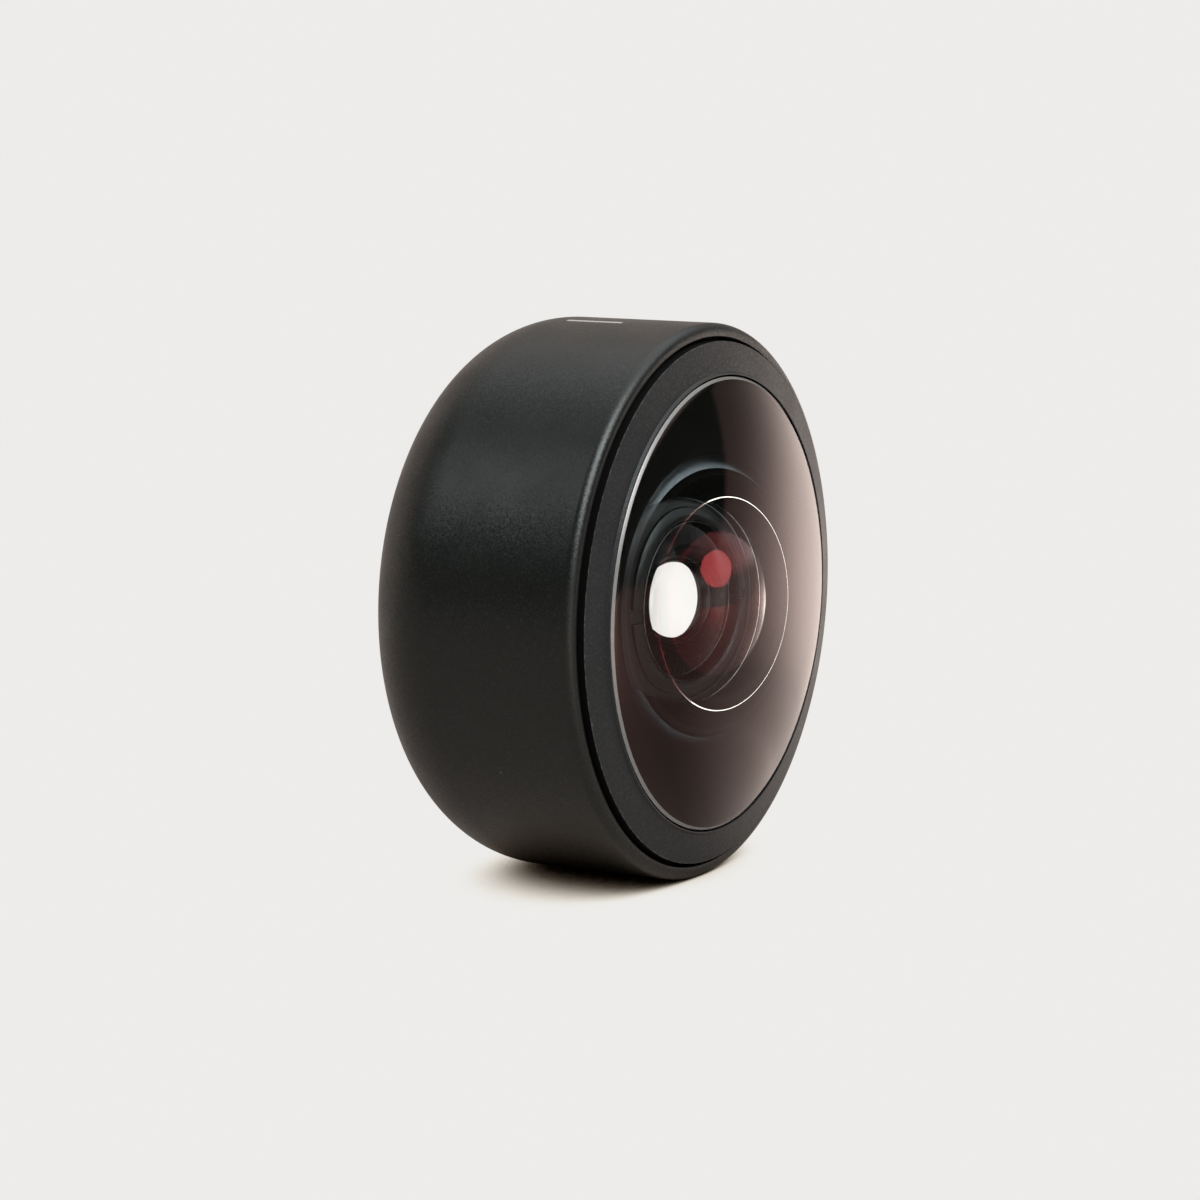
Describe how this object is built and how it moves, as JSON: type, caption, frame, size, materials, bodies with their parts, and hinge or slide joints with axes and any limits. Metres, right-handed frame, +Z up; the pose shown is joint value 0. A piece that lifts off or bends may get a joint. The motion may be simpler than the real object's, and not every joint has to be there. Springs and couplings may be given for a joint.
{
  "type": "phone fisheye lens",
  "caption": "Round add-on fisheye lens for a phone camera: domed front glass in a matte black metal barrel, with a twist-lock bayonet at the back.",
  "frame": {"origin": "on the optical axis, in the plane of the bayonet mount's raised land, the face that seats on the phone case", "axes": "+Y along the optical axis from the front glass towards the phone, so the glass faces -Y; +Z up as the lens stands on its rim, through one of the mount's screws; +X to the right seen from in front, through the middle of one bayonet claw"},
  "size_m": [0.042, 0.0279, 0.042],
  "materials": {
    "anodised_barrel": "fine bead-blasted, matte black anodised",
    "anodised_bezel": "satin black anodised, finely turned",
    "coated_front_glass": "polished, multi-coated, edges inked black",
    "coated_inner_glass": "polished, multi-coated, edges inked black",
    "black_inner_metal": "matte black anodised, turned",
    "black_rubber": "smooth moulded nitrile rubber",
    "black_foil": "flat black lacquer",
    "bayonet_metal": "turned and milled, semi-gloss black anodised",
    "baffle_plastic": "moulded, matte black, stepped",
    "screw_steel": "black oxide"
  },
  "bodies": {
    "root": {"outer_barrel": "anodised_barrel", "front_bezel_ring": "anodised_bezel", "front_gasket": "black_rubber", "front_element": "coated_front_glass", "front_seal_ring": "black_rubber", "inner_housing": "black_inner_metal", "lens_cell": "black_inner_metal", "cell_seal_ring": "black_rubber", "cell_lock_ring": "black_inner_metal", "second_element": "coated_inner_glass", "second_element_ring": "black_inner_metal", "baffle_spacer": "black_inner_metal", "doublet_front_element": "coated_inner_glass", "doublet_rear_element": "coated_inner_glass", "aperture_stop": "black_foil", "rear_element": "coated_inner_glass", "rear_retaining_ring": "black_inner_metal", "bayonet_mount": "bayonet_metal", "rear_baffle": "baffle_plastic", "bayonet_screws": "screw_steel"}
  },
  "joints": []
}
